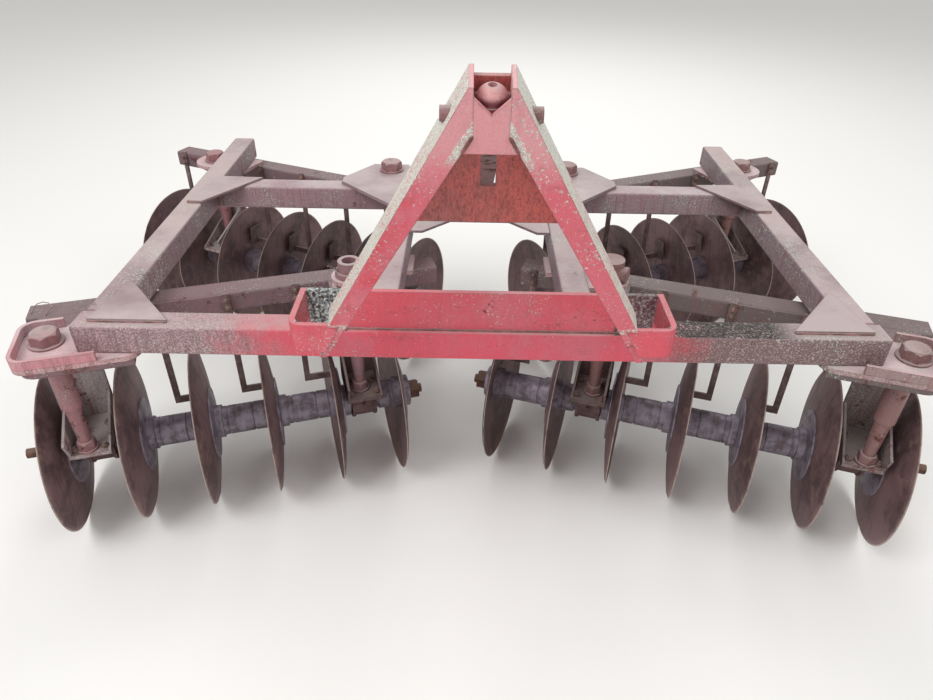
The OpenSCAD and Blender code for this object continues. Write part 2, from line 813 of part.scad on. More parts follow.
// Rotors
// Half section of a bowl that starts at the flat centre: radii of its faces and of its edge
bowl_centre = -sqrt(dish_r * dish_r - disc_flat_d * disc_flat_d / 4);
module bowl_section(inner, outer, edge) {
    intersection() {
        difference() {
            translate([0, bowl_centre]) circle(outer, $fn = 180);
            translate([0, bowl_centre]) circle(inner, $fn = 180);
        }
        translate([disc_flat_d / 2 - 0.5, -dish - 10])
            square([edge - disc_flat_d / 2 + 0.5, dish + 40]);
    }
}

module square_hole(length) {
    cube([axle_side + 2 * axle_play, axle_side + 2 * axle_play, length], center = true);
}

bevel_w = 13;
edge_t = 1.5;
module disc() {
    rotate([0, 90, 0]) difference() {
        rotate_extrude($fn = 96) {
            square([disc_flat_d / 2, disc_t]);
            difference() {
                bowl_section(dish_r, dish_r + disc_t, disc_r);
                polygon([
                    [disc_r - bevel_w, -bowl(disc_r - bevel_w) + disc_t], [disc_r, -dish + edge_t],
                    [disc_r + 5, -dish + edge_t], [disc_r + 5, disc_t + 5],
                    [disc_r - bevel_w, disc_t + 5]]);
            }
        }
        square_hole(4 * disc_t);
    }
}

module gang_discs(g) {
    placed() color(dark_rust) at_gang(g)
        for (k = [0:g[DISCS] - 1]) translate([hub_x(k), 0, 0]) disc();
}

// The backing plate follows the disc's convex side
backing_gap = 0.2;
module backing_section() {
    square([disc_flat_d / 2, backing_t]);
    translate([0, -disc_t])
        bowl_section(dish_r + disc_t + backing_gap, dish_r + disc_t + backing_t, backing_d / 2);
}

collar_l = 26;
groove_w = 4;
groove_depth = 3;
spool_grooves = [40, 118, 156];
journal_room = 8;
// A spool from the convex face of one disc to the next disc's concave face. Where a bearing sits
// on it, the journal's middle is given as a distance from the disc's hub face.
module spool(journal_at) {
    length = disc_pitch - disc_t;
    half = housing_l / 2 + journal_room;
    rotate([0, 90, 0]) difference() {
        rotate_extrude($fn = 96) {
            backing_section();
            square([collar_d / 2, collar_l]);
            translate([0, length - collar_l]) square([collar_d / 2, collar_l]);
            difference() {
                square([spool_d / 2, length]);
                for (at = spool_grooves)
                    translate([spool_d / 2 - groove_depth, at]) square([groove_depth + 1, groove_w]);
                if (journal_at > 0)
                    translate([journal_d / 2, journal_at - disc_t - half]) square([spool_d, 2 * half]);
            }
        }
        square_hole(4 * length);
    }
}

end_l = 26;
module end_spool(last) {
    rotate([0, 90, 0]) difference() {
        rotate_extrude($fn = 96) {
            if (last)
                backing_section();
            translate([0, last ? 0 : -end_l]) square([collar_d / 2, end_l]);
        }
        square_hole(8 * end_l);
    }
}

module gang_spools(g) {
    last = g[DISCS] - 1;
    placed() color(polished) at_gang(g) {
        for (k = [0:last - 1])
            translate([hub_x(k) + disc_t, 0, 0])
                spool(len(search(k, hanger_gaps)) > 0 ? hanger_x(g, k) - hub_x(k) : 0);
        translate([hub_x(0), 0, 0]) end_spool(false);
        translate([hub_x(last) + disc_t, 0, 0]) end_spool(true);
    }
}

nut_l = 34;
nut_af = 56;
thread_d = 30;
// How far the round threaded end stands out of the nut, at the outer end and at the inner one
outer_out = 75;
inner_out = 12;
module gang_axle(g) {
    last = g[DISCS] - 1;
    x0 = hub_x(0) - end_l;
    x1 = hub_x(last) + disc_t + end_l;
    out0 = is_front(g) ? outer_out : inner_out;
    out1 = is_front(g) ? inner_out : outer_out;
    placed() color(dark_rust) at_gang(g) {
        translate([x0 - nut_l / 2, -axle_side / 2, -axle_side / 2])
            cube([x1 - x0 + nut_l, axle_side, axle_side]);
        for (x = [x0 - nut_l, x1])
            translate([x, 0, 0]) rotate([0, 90, 0]) cylinder(h = nut_l, d = nut_af / cos(30), $fn = 6);
        translate([x0 - nut_l - out0, 0, 0]) rotate([0, 90, 0]) cylinder(h = out0 + nut_l / 2, d = thread_d);
        translate([x1 + nut_l / 2, 0, 0]) rotate([0, 90, 0]) cylinder(h = out1 + nut_l / 2, d = thread_d);
    }
}

module front_left_beam() { gang_beam(FRONT_LEFT); }
module front_right_beam() { gang_beam(FRONT_RIGHT); }
module rear_left_beam() { gang_beam(REAR_LEFT); }
module rear_right_beam() { gang_beam(REAR_RIGHT); }
module front_hangers() { gang_hangers(FRONT_LEFT); gang_hangers(FRONT_RIGHT); }
module rear_hangers() { gang_hangers(REAR_LEFT); gang_hangers(REAR_RIGHT); }
module front_bearings() { gang_bearings(FRONT_LEFT); gang_bearings(FRONT_RIGHT); }
module rear_bearings() { gang_bearings(REAR_LEFT); gang_bearings(REAR_RIGHT); }
module front_pivots() { gang_pivots(FRONT_LEFT); gang_pivots(FRONT_RIGHT); }
module rear_pivots() { gang_pivots(REAR_LEFT); gang_pivots(REAR_RIGHT); }
module front_scrapers() { gang_scrapers(FRONT_LEFT); gang_scrapers(FRONT_RIGHT); }
module rear_scrapers() { gang_scrapers(REAR_LEFT); gang_scrapers(REAR_RIGHT); }
module front_left_discs() { gang_discs(FRONT_LEFT); }
module front_right_discs() { gang_discs(FRONT_RIGHT); }
module rear_left_discs() { gang_discs(REAR_LEFT); }
module rear_right_discs() { gang_discs(REAR_RIGHT); }
module front_left_spools() { gang_spools(FRONT_LEFT); }
module front_right_spools() { gang_spools(FRONT_RIGHT); }
module rear_left_spools() { gang_spools(REAR_LEFT); }
module rear_right_spools() { gang_spools(REAR_RIGHT); }
module front_left_axle() { gang_axle(FRONT_LEFT); }
module front_right_axle() { gang_axle(FRONT_RIGHT); }
module rear_left_axle() { gang_axle(REAR_LEFT); }
module rear_right_axle() { gang_axle(REAR_RIGHT); }

front_beam();
side_rail_left();
side_rail_right();
rear_crossbeam();
inner_rail_left();
inner_rail_right();
frame_end_caps();
corner_gussets();
pivot_plates();
mast_foot_plate();
gang_brackets();
bracket_rims();
hitch_leg_left();
hitch_leg_right();
hitch_front_plate();
hitch_latch_plate();
hitch_cap();
hitch_pin();
hitch_strap();
hitch_stay();
front_left_beam();
front_right_beam();
rear_left_beam();
rear_right_beam();
front_hangers();
rear_hangers();
front_bearings();
rear_bearings();
front_pivots();
rear_pivots();
front_scrapers();
rear_scrapers();
front_left_discs();
front_right_discs();
rear_left_discs();
rear_right_discs();
front_left_spools();
front_right_spools();
rear_left_spools();
rear_right_spools();
front_left_axle();
front_right_axle();
rear_left_axle();
rear_right_axle();
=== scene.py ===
import json
import math

import bpy
from mathutils import Matrix, Vector, noise


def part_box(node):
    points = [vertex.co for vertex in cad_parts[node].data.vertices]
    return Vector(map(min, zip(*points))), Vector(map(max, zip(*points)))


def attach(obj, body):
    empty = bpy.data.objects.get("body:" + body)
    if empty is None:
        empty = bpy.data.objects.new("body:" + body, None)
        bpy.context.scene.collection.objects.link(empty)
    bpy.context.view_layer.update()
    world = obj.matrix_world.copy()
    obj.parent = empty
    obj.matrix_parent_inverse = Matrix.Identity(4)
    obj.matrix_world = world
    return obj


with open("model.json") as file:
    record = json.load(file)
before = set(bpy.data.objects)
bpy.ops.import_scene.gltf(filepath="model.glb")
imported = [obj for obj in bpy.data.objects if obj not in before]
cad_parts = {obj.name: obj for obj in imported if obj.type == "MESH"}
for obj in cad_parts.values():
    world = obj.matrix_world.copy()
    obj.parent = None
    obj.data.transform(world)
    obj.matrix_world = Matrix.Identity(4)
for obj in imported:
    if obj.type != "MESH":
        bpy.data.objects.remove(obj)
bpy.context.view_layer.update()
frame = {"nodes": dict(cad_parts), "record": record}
nodes = frame["nodes"]
print("frame loaded,", len(nodes), "pieces")

# in front of the hitch at eye height; y is measured from the front beam's front face
view = {
    "position": (-0.0356, -1.4426, 1.7294),
    "pitch": 34.82,
    "yaw": 0.02,
    "roll": 1.03,
    "focalPixels": 700,
    "frameWidth": 933,
    "sensorWidth": 36,
}


def addCamera():
    data = bpy.data.cameras.new("camera")
    data.sensor_width = view["sensorWidth"]
    data.lens = view["focalPixels"] / view["frameWidth"] * data.sensor_width
    cam = bpy.data.objects.new("camera", data)
    bpy.context.scene.collection.objects.link(cam)
    x, y, z = view["position"]
    turn = (Matrix.Rotation(-math.radians(view["yaw"]), 4, "Z")
            @ Matrix.Rotation(math.radians(90 - view["pitch"]), 4, "X")
            @ Matrix.Rotation(math.radians(view["roll"]), 4, "Z"))
    cam.matrix_world = Matrix.Translation((x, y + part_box("front_beam")[0][1], z)) @ turn
    bpy.context.scene.camera = cam


addCamera()
print("camera placed")


# shader maths

class Sock:
    # one value in a material's tree; maths on it adds the nodes
    def __init__(self, tree, out=None):
        self.tree = tree
        self.out = out

    def node(self, kind, settings=None, sockets=None, output=0):
        made = self.tree.nodes.new(kind)
        for name, value in (settings or {}).items():
            setattr(made, name, value)
        for key, value in (sockets or {}).items():
            if isinstance(value, Sock):
                self.tree.links.new(value.out, made.inputs[key])
            else:
                made.inputs[key].default_value = value
        return Sock(self.tree, made.outputs[output])

    def math(self, operation, *values):
        return self.node("ShaderNodeMath", {"operation": operation}, dict(enumerate(values)))

    def __add__(self, other):
        return self.math("ADD", self, other)

    def __radd__(self, other):
        return self.math("ADD", other, self)

    def __sub__(self, other):
        return self.math("SUBTRACT", self, other)

    def __rsub__(self, other):
        return self.math("SUBTRACT", other, self)

    def __mul__(self, other):
        return self.math("MULTIPLY", self, other)

    def __rmul__(self, other):
        return self.math("MULTIPLY", other, self)

    def __abs__(self):
        return self.math("ABSOLUTE", self)


def tint(code):
    # a hex colour as the linear values a shader takes
    steps = [int(code[i:i + 2], 16) / 255 for i in (1, 3, 5)]
    return (*[s / 12.92 if s <= 0.04045 else ((s + 0.055) / 1.055) ** 2.4 for s in steps], 1)


def tints(codes):
    return [tint(code) for code in codes]


def vectors(operation, first, second, output=0):
    return first.node("ShaderNodeVectorMath", {"operation": operation}, {0: first, 1: second}, output)


def axisOf(vector, axis):
    # one of a vector's numbers: 0 is x, 1 is y, 2 is z
    return vector.node("ShaderNodeSeparateXYZ", None, {0: vector}, axis)


def cloud(place, scale, detail=4, rough=0.6, stretch=None):
    if stretch:
        place = vectors("MULTIPLY", place, stretch)
    return place.node("ShaderNodeTexNoise", None,
                      {"Vector": place, "Scale": scale, "Detail": detail, "Roughness": rough})


def ringsAt(value, scale, detail, rough):
    # a cloud that changes with one value only
    return cloud(value.node("ShaderNodeCombineXYZ", None, {0: value}), scale, detail, rough)


def between(value, low, high):
    # 0 below low, 1 above high, smooth from one to the other
    return value.node("ShaderNodeMapRange", {"interpolation_type": "SMOOTHSTEP"},
                      {0: value, 1: low, 2: high})


def mixed(mask, first, second):
    # the first colour where the mask is 0, the second where it is 1; the mask may be a number
    sock = next(value for value in (mask, first, second) if isinstance(value, Sock))
    return sock.node("ShaderNodeMix", {"data_type": "RGBA"}, {0: mask, 6: first, 7: second}, 2)


def newFinish(name, specular=0.4):
    mat = bpy.data.materials.new(name)
    mat.use_nodes = True
    shader = mat.node_tree.nodes["Principled BSDF"]
    shader.inputs["Specular IOR Level"].default_value = specular
    place = Sock(mat.node_tree).node("ShaderNodeTexCoord", output="Object")
    return mat, place, shader


shaderInputs = {"color": "Base Color", "roughness": "Roughness", "metallic": "Metallic", "normal": "Normal"}


def connect(shader, **values):
    for name, value in values.items():
        value.tree.links.new(value.out, shader.inputs[shaderInputs[name]])


def roundedNormal(place, radius):
    return place.node("ShaderNodeBevel", {"samples": 4}, {"Radius": radius})


def wornEdges(place, radius):
    # 1 along sharp edges, 0 on open faces
    face = place.node("ShaderNodeNewGeometry", output="Normal")
    agree = vectors("DOT_PRODUCT", roundedNormal(place, radius), face, "Value")
    return between(1 - agree, 0.02, 0.25)


def raised(place, height, strength, edgeRadius):
    # the normal of a rough surface whose sharp edges look rounded
    return place.node("ShaderNodeBump", None, {"Height": height, "Strength": strength, "Distance": 0.002,
                                               "Normal": roundedNormal(place, edgeRadius)})


# old paint on steel: it fades in clouds, rusts in patches and at the edges, runs in streaks down
# the sides, and holds dust and lichen on top; places are measured in the frame's metres

oldPaint = {
    "paint": "#c4505c", "faded": "#a8848a", "fade": (0.42, 0.62),
    "rust": "#6b3f35", "rustDeep": "#3d2621", "rustFrom": 0.66, "grime": 0.3,
    "streak": "#7a4a48", "streaks": 0.3, "speckles": 0.0, "speckle": "#4a2a26",
    "dust": "#b9aba8", "dustiness": 0.5,
    "lichen": "#ccd3c6", "lichenShade": "#93a39a", "lichenFrom": 0.69, "lichenUp": 0.0,
    "worn": "#8d6f6c", "roughness": 0.55,
    "fleckDark": "#54474a", "fleckPale": "#c3bcb6", "fleckScale": 210,
    "ends": None,      # dull flecked paint away from the frame's middle
    "right": None,     # another colour right of the middle
    "above": None,     # another colour above a height
    "below": None,     # another colour below a height
    "seam": None,      # lichen along the slanting seam beside each leg
    "foot": None,      # the height of a line of lichen
    "debris": None,    # grit strewn on top
    "pocket": None,    # grit inside the strap's pockets, and the right pocket darkened inside
}

# the clouds that wear follows: their scales, from whole stretches of a beam to single grains, and
# how runs and splashes are drawn out; edge and bevel are radii, brightMiddle is the x where the
# paint is brightest, and the two sides' colours meet within sideBlend of the middle
wear = {
    "broad": 3.5, "colonies": 8, "patches": 19, "dents": 60, "flecks": 150, "grains": 240, "crumbs": 420,
    "runs": (70, 70, 4), "smudges": (9, 9, 30), "drips": (170, 170, 42),
    "edge": 0.005, "bevel": 0.003, "brightMiddle": -0.04, "sideBlend": 0.1,
}


class Surface:
    # where a point of a painted piece lies, which way it faces, and the clouds its wear follows
    def __init__(self, place):
        facing = place.node("ShaderNodeTexCoord", output="Normal")
        self.place = place
        self.x, self.y, self.z = (axisOf(place, axis) for axis in range(3))
        self.rightHalf = between(self.x, -wear["sideBlend"], wear["sideBlend"])
        self.sideways = abs(axisOf(facing, 0))
        self.up = axisOf(facing, 2)
        self.top = between(self.up, 0.55, 0.95)
        self.upright = 1 - abs(self.up)
        self.broad = cloud(place, wear["broad"], 5, 0.65)
        self.patches = cloud(place, wear["patches"], 7, 0.68)
        self.grains = cloud(place, wear["grains"], 3, 0.7)
        self.flecks = cloud(place, wear["flecks"], 3, 0.82)
        self.edges = wornEdges(place, wear["edge"])


def mottle(place, tones, scale):
    # three tones in small irregular flecks
    low, middle, high = tones
    flecks = cloud(place, scale, 3, 0.8)
    darker = mixed(between(flecks, 0.44, 0.50), low, middle)
    return mixed(between(flecks, 0.55, 0.60), darker, high)


def dullness(look, at):
    # 0 round the bright middle of the frame, more towards its ends
    ends = look["ends"]
    if not ends:
        return 0
    away = abs(at.x - wear["brightMiddle"]) + at.patches * 0.3 - 0.15
    return between(away, ends["from"], ends["to"]) * ends["most"]


def paintTones(look, at, dull):
    level = at.broad * 0.7 + at.patches * 0.3
    color = mixed(between(level, *look["fade"]), tint(look["paint"]), tint(look["faded"]))
    if look["ends"]:
        ends = look["ends"]
        tone = mixed(at.rightHalf, tint(ends["left"]), tint(ends["right"]))
        tones = tint(look["fleckDark"]), tone, tint(look["fleckPale"])
        flecked = mottle(at.place, tones, look["fleckScale"])
        color = mixed(dull, color, mixed(ends["flecks"], tone, flecked))
    if look["right"]:
        color = mixed(at.rightHalf * 0.85, color, tint(look["right"]))
    if look["above"]:
        above = look["above"]
        share = between(at.z + at.patches * 0.03, above["from"], above["to"]) * above["most"]
        color = mixed(share, color, tint(above["color"]))
    if look["below"]:
        below = look["below"]
        color = mixed(between(at.z, below["to"], below["from"]), tint(below["color"]), color)
    return color


def wornPaint(look, at, color, dull):
    # grime, bare edges and patches of rust, and also where the rust is
    color = mixed(between(at.grains, 0.45, 0.75) * look["grime"], color, tint(look["rustDeep"]))
    color = mixed(between(at.edges + at.patches * 0.9, 0.80, 1.15) * 0.7, color, tint(look["worn"]))
    spread = at.patches + at.edges * 0.10 + at.grains * 0.10
    rust = between(spread, look["rustFrom"], look["rustFrom"] + 0.07)
    browns = mixed(between(at.grains, 0.35, 0.65), tint(look["rust"]), tint(look["rustDeep"]))
    color = mixed(rust, color, browns)

    # what has run down the sides or splashed on them
    runs = between(cloud(at.place, 1, 4, 0.7, wear["runs"]), 0.46, 0.66) * at.upright
    color = mixed(runs * (dull * 0.45 + look["streaks"]), color, tint(look["streak"]))
    smudges = between(cloud(at.place, 1, 6, 0.75, wear["smudges"]), 0.55, 0.68)
    smudges = smudges * between(at.grains, 0.40, 0.55) * at.upright
    color = mixed(smudges * 0.45, color, tint(look["rust"]))
    drips = between(cloud(at.place, 1, 3, 0.85, wear["drips"]), 0.50, 0.60) * look["speckles"]
    return mixed(drips, color, tint(look["speckle"])), rust


def lichenOn(look, at, dull):
    # 1 where lichen grows: in colonies, on slanting sides, along the seam and at the foot
    colonies = between(cloud(at.place, wear["colonies"], 5, 0.7), 0.42, 0.66) * 0.10
    leaning = between(at.sideways, 0.5, 0.8) * between(at.up, 0.1, 0.3)
    spread = colonies + dull * 0.02 + leaning * look["lichenUp"]
    crust = between(at.flecks + spread, look["lichenFrom"], look["lichenFrom"] + 0.035)
    if look["seam"]:
        seam = look["seam"]
        away = abs(abs(at.x) + at.z * seam["slope"] - seam["at"]) + at.patches * 0.02 - 0.01
        band = between(seam["half"] - away, 0, 0.006) * between(at.z, seam["low"], seam["low"] + 0.03)
        crust = crust.math("MAXIMUM", crust, band * between(at.flecks, 0.40, 0.47))
    if look["foot"]:
        band = between(0.018 - abs(at.z - look["foot"]) - at.patches * 0.012, 0, 0.008)
        crust = crust.math("MAXIMUM", crust, band * between(at.flecks, 0.46, 0.54))
    return crust


def gritted(look, at, color):
    # grit strewn on top of the beam's right half, grit in the strap's pockets, and the right pocket
    # darkened inside
    if look["debris"]:
        debris = look["debris"]
        strewn = at.top * between(at.x, debris["from"], debris["from"] + 0.03)
        strewn = strewn * between(debris["to"] - at.x, 0, 0.10)
        strewn = strewn * between(at.flecks + at.patches * 0.3, 0.52, 0.60)
        color = mixed(strewn, color, mottle(at.place, tints(debris["tones"]), debris["scale"]))
    if look["pocket"]:
        pocket = look["pocket"]
        out = abs(at.x)
        inside = between(out, pocket["from"], pocket["from"] + 0.01) * between(pocket["to"] - out, 0, 0.004)
        inside = inside * between(at.y, pocket["front"], pocket["front"] + 0.002)
        inside = inside * between(at.z, pocket["foot"], pocket["foot"] + 0.001)
        # the right pocket is darkened inside with the colour listed as rust
        color = mixed(inside * at.rightHalf * 0.8, color, tint(pocket["rust"]))
        grit = mottle(at.place, tints(pocket["tones"]), pocket["scale"])
        color = mixed(inside * (0.95 - at.rightHalf * 0.5), color, grit)
    return color


def paintedSteel(name, **changes):
    look = {**oldPaint, **changes}
    mat, place, shader = newFinish(name)
    at = Surface(place)
    dull = dullness(look, at)
    color, rust = wornPaint(look, at, paintTones(look, at, dull), dull)
    dust = at.top * between(at.broad + at.grains * 0.25, 0.35, 0.75) * look["dustiness"]
    color = mixed(dust, color, tint(look["dust"]))
    crust = lichenOn(look, at, dull)
    crumbs = between(cloud(place, wear["crumbs"], 2, 0.8), 0.42, 0.58)
    color = mixed(crust * 0.85, color, mixed(crumbs, tint(look["lichenShade"]), tint(look["lichen"])))
    height = at.grains * 0.22 + rust * 0.35 + crust * 0.5 + cloud(place, wear["dents"], 3) * 0.35
    connect(shader, color=gritted(look, at, color),
            roughness=look["roughness"] + rust * 0.25 + dust * 0.2 + crust * 0.2,
            normal=raised(place, height, 0.55, wear["bevel"]))
    return mat


# bare iron that has rusted dark, with soil dust on it

bareIron = {
    "freshRust": "#8a5a3c", "roughness": 0.62, "dustiness": 0.4,
    "patches": 26, "grains": 300, "bevel": 0.002,
}


def rustedIron(name, brown, deep, dust, dustiness=bareIron["dustiness"]):
    mat, place, shader = newFinish(name)
    up = axisOf(place.node("ShaderNodeTexCoord", output="Normal"), 2)
    patches = cloud(place, bareIron["patches"], 6, 0.7)
    grains = cloud(place, bareIron["grains"], 3, 0.7)
    color = mixed(between(patches, 0.4, 0.65), tint(deep), tint(brown))
    color = mixed(between(grains, 0.5, 0.7) * 0.35, color, tint(bareIron["freshRust"]))
    color = mixed(between(up + patches * 0.6, 0.5, 1.3) * dustiness, color, tint(dust))
    connect(shader, color=color, roughness=bareIron["roughness"] + patches * 0.25,
            normal=raised(place, grains * 0.5 + patches * 0.6, 0.6, bareIron["bevel"]))
    return mat


print("finishes defined")

# gangs: the joints give each gang's axle line, and lengths run along it from the first disc's rim

gang = {
    "names": ("front_left", "front_right", "rear_left", "rear_right"),
    "jointAt": 0.6,           # the joint's place along the axle
    "discPitch": 0.2,
    "discRadius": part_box("front_left_discs")[1][2] / 2,
    "dish": 0.0283,
}


class Axle:
    # a gang's axle line, with directions along it, to the rear and up
    def __init__(self, joint):
        self.middle = Vector(joint["pos_m"])
        self.along = Vector(joint["axis"]).normalized()
        self.back = Vector((-self.along.y, self.along.x, 0))
        if self.back.y < 0:
            self.back.negate()

    def point(self, x, y, z):
        return self.middle + self.along * (x - gang["jointAt"]) + self.back * y + Vector((0, 0, z))

    def local(self, point):
        away = Vector(point) - self.middle
        return Vector((away.dot(self.along) + gang["jointAt"], away.dot(self.back), away.z))


axles = {}
for joint in frame["record"]["behaviour"]["joints"]:
    axles[joint["name"].replace("_gang_turn", "")] = Axle(joint)


def alongAxle(place, axle):
    # how far along the axle line a point lies
    return vectors("DOT_PRODUCT", vectors("SUBTRACT", place, axle.middle), axle.along, "Value")


def radiusFrom(place, axle):
    # how far out from the axle line a point lies
    along = place.node("ShaderNodeVectorMath", {"operation": "SCALE"},
                       {0: axle.along, "Scale": alongAxle(place, axle)})
    out = vectors("SUBTRACT", vectors("SUBTRACT", place, axle.middle), along)
    return out.node("ShaderNodeVectorMath", {"operation": "LENGTH"}, {0: out}, "Value")


disc = {
    "steel": "#8d7073", "dark": "#624e50", "bloom": "#a48e8e", "stain": "#7b5a48", "rim": "#b3a298",
    "soil": "#8c7968", "rimBand": 0.006, "soilTop": 0.075,
    "broad": 6, "patches": 30, "grains": 320, "rings": 260, "bevel": 0.0015,
}


def discSteel(name, axle):
    mat, place, shader = newFinish(name, 0.5)
    radius = radiusFrom(place, axle)
    broad = cloud(place, disc["broad"], 5, 0.65)
    patches = cloud(place, disc["patches"], 6, 0.7)
    grains = cloud(place, disc["grains"], 2, 0.7)
    rings = ringsAt(radius, disc["rings"], 2, 0.5)
    color = mixed(between(broad, 0.38, 0.62), tint(disc["steel"]), tint(disc["dark"]))
    color = mixed(between(patches, 0.48, 0.72) * 0.6, color, tint(disc["bloom"]))
    runs = between(cloud(place, 1, 5, 0.7, wear["runs"]), 0.48, 0.70) * 0.75
    color = mixed(runs, color, tint(disc["dark"]))
    color = mixed(between(patches, 0.5, 0.6) * 0.4, color, tint(disc["stain"]))
    color = mixed(between(rings, 0.45, 0.7) * 0.18, color, tint(disc["bloom"]))
    soil = between(disc["soilTop"] - axisOf(place, 2) - patches * 0.08, 0, 0.02) * 0.8
    color = mixed(soil, color, tint(disc["soil"]))
    rim = between(radius, gang["discRadius"] - disc["rimBand"], gang["discRadius"] - 0.001)
    color = mixed(rim * between(patches, 0.3, 0.5), color, tint(disc["rim"]))
    height = grains * 0.3 + patches * 0.5 + rings * 0.15 + soil * 0.6
    connect(shader, color=color, roughness=0.42 + patches * 0.25 + soil * 0.3,
            metallic=0.55 - soil * 0.5 - between(patches, 0.45, 0.7) * 0.3,
            normal=raised(place, height, 0.4, disc["bevel"]))
    return mat


spool = {
    "iron": "#908693", "dark": "#64575e", "ridge": "#b1a8b2", "rust": "#6f564c",
    "patches": 28, "grains": 330, "rings": 120, "bevel": 0.002,
}


def spoolIron(name, axle):
    mat, place, shader = newFinish(name, 0.5)
    patches = cloud(place, spool["patches"], 6, 0.65)
    grains = cloud(place, spool["grains"], 2, 0.7)
    rings = ringsAt(alongAxle(place, axle), spool["rings"], 3, 0.6)
    color = mixed(between(patches, 0.4, 0.66), tint(spool["iron"]), tint(spool["dark"]))
    color = mixed(between(rings, 0.5, 0.7) * 0.4, color, tint(spool["ridge"]))
    color = mixed(between(patches + grains * 0.2, 0.70, 0.84) * 0.7, color, tint(spool["rust"]))
    connect(shader, color=color, roughness=0.36 + patches * 0.25,
            metallic=0.5 - between(patches, 0.5, 0.7) * 0.3,
            normal=raised(place, grains * 0.2 + rings * 0.4 + patches * 0.4, 0.35, spool["bevel"]))
    return mat


# finishes of the frame's pieces, dullest at the frame's ends

strapLow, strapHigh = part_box("hitch_strap")
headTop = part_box("hitch_leg_left")[1][2]

# grit lies in the strap's pockets, from beside the legs to the end walls and down to the beam; the right
# pocket is also darkened inside, with the colour listed as rust
pocketWalls = {"end": 0.013, "front": 0.012, "underBeamTop": 0.0015}
strapPockets = {
    "from": 0.325, "to": strapHigh[0] - pocketWalls["end"], "front": strapLow[1] + pocketWalls["front"],
    "foot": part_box("front_beam")[1][2] - pocketWalls["underBeamTop"],
    "rust": "#4f3338", "tones": ("#2c2829", "#6d7f80", "#cdd2cc"), "scale": 130,
}
beamDebris = {"from": 0.43, "to": 0.82, "tones": ("#211d1c", "#3c3634", "#6b625e"), "scale": 190}
headPink = {"from": headTop - 0.22, "to": headTop - 0.10, "most": 0.85, "color": "#d3989d"}
capShade = {"from": headTop - 0.040, "to": headTop - 0.052, "color": "#6d323b"}

# the seam of front plate and leg goes through a point at this x and height over the strap
seamPoint = {"x": 0.0565, "up": 0.437, "slope": 0.574}
plateSeam = {
    "slope": seamPoint["slope"], "half": 0.013, "low": strapHigh[2] + 0.405,
    "at": seamPoint["x"] + seamPoint["slope"] * (strapHigh[2] + seamPoint["up"]),
}

strapPaint = paintedSteel(
    "strapPaint", paint="#cb505e", faded="#c8626e", rustFrom=0.70, dustiness=0.35, grime=0.2,
    lichenFrom=0.66, streaks=0.12, pocket=strapPockets,
    ends={"from": 0.42, "to": 0.75, "most": 0.4, "left": "#c76a72", "right": "#b3706f", "flecks": 0.4})
beamPaint = paintedSteel(
    "beamPaint", paint="#d04f60", faded="#c4626f", rustFrom=0.70, lichenFrom=0.67, grime=0.25,
    streak="#64504f", streaks=0.10, dustiness=0.6, pocket=strapPockets, debris=beamDebris,
    ends={"from": 0.38, "to": 0.68, "most": 0.93, "left": "#9a8286", "right": "#6c605f", "flecks": 0.6})
legPaint = paintedSteel(
    "legPaint", paint="#cc4857", faded="#cb707c", rustFrom=0.72, streaks=0.15, grime=0.18,
    lichenFrom=0.645, lichenUp=0.22, lichen="#dfe3d8", lichenShade="#9aaba1", dustiness=0.3,
    above=headPink, right="#cf6471", foot=strapHigh[2], seam=plateSeam)
platePaint = paintedSteel(
    "platePaint", paint="#cc4857", faded="#c86774", rustFrom=0.74, streaks=0.1, grime=0.15,
    lichenFrom=0.70, dustiness=0.3, above=headPink)
latchPaint = paintedSteel(
    "latchPaint", paint="#c25e58", faded="#a8625f", rustFrom=0.74, streaks=0.5, speckles=0.5,
    speckle="#5d322e", streak="#6a3a36", lichenFrom=0.80)
stayPaint = paintedSteel("stayPaint", paint="#8f6a6c", faded="#7f6a6b", rustFrom=0.60, lichenFrom=0.68)
capPaint = paintedSteel(
    "capPaint", paint="#c98f90", faded="#c2a19f", rustFrom=0.68, dustiness=0.5, lichenFrom=0.74,
    below=capShade)
railPaint = paintedSteel(
    "railPaint", paint="#8a6f77", faded="#7d6c72", fade=(0.35, 0.65), rustFrom=0.66, dust="#b9a8a6",
    dustiness=0.85, lichenFrom=0.64, worn="#6f5a5b",
    ends={"from": 0.2, "to": 0.4, "most": 0.5, "left": "#8d767c", "right": "#83747a", "flecks": 0.5})
crossbeamPaint = paintedSteel(
    "crossbeamPaint", paint="#a07f88", faded="#92858b", rustFrom=0.68, dust="#bfb0b2",
    dustiness=0.8, lichenFrom=0.64, worn="#6f5a5b",
    ends={"from": 0.1, "to": 0.5, "most": 0.4, "left": "#9b8086", "right": "#7e7075", "flecks": 0.6})
gussetPaint = paintedSteel(
    "gussetPaint", paint="#8d777b", faded="#9a898b", rustFrom=0.68, dust="#b7a8a8", dustiness=0.8,
    lichenFrom=0.70, roughness=0.36, right="#7f6c6e")
gangBeamPaint = paintedSteel(
    "gangBeamPaint", paint="#785c62", faded="#64545a", rustFrom=0.64, dustiness=0.5, dust="#8b7a78",
    lichenFrom=0.67, worn="#5f4a49", right="#5f5653")
bracketPaint = paintedSteel(
    "bracketPaint", paint="#c39296", faded="#c2a3a6", rustFrom=0.66, dust="#d2bcbe", dustiness=0.8,
    lichenFrom=0.64,
    ends={"from": 0.2, "to": 0.4, "most": 0.65, "left": "#bd9598", "right": "#857472", "flecks": 0.55})
rimPaint = paintedSteel(
    "rimPaint", paint="#bd8289", faded="#b3949a", rustFrom=0.68, dustiness=0.7, dust="#ccb0b1",
    lichenFrom=0.66, right="#8c7674")
hangerPaint = paintedSteel(
    "hangerPaint", paint="#6f5c5a", faded="#63524f", rustFrom=0.62, dustiness=0.6, dust="#9b8f8b",
    lichenFrom=0.69, worn="#5a4a47",
    ends={"from": 0.75, "to": 0.95, "most": 0.85, "left": "#b9aeae", "right": "#8b7f7d", "flecks": 0.35})
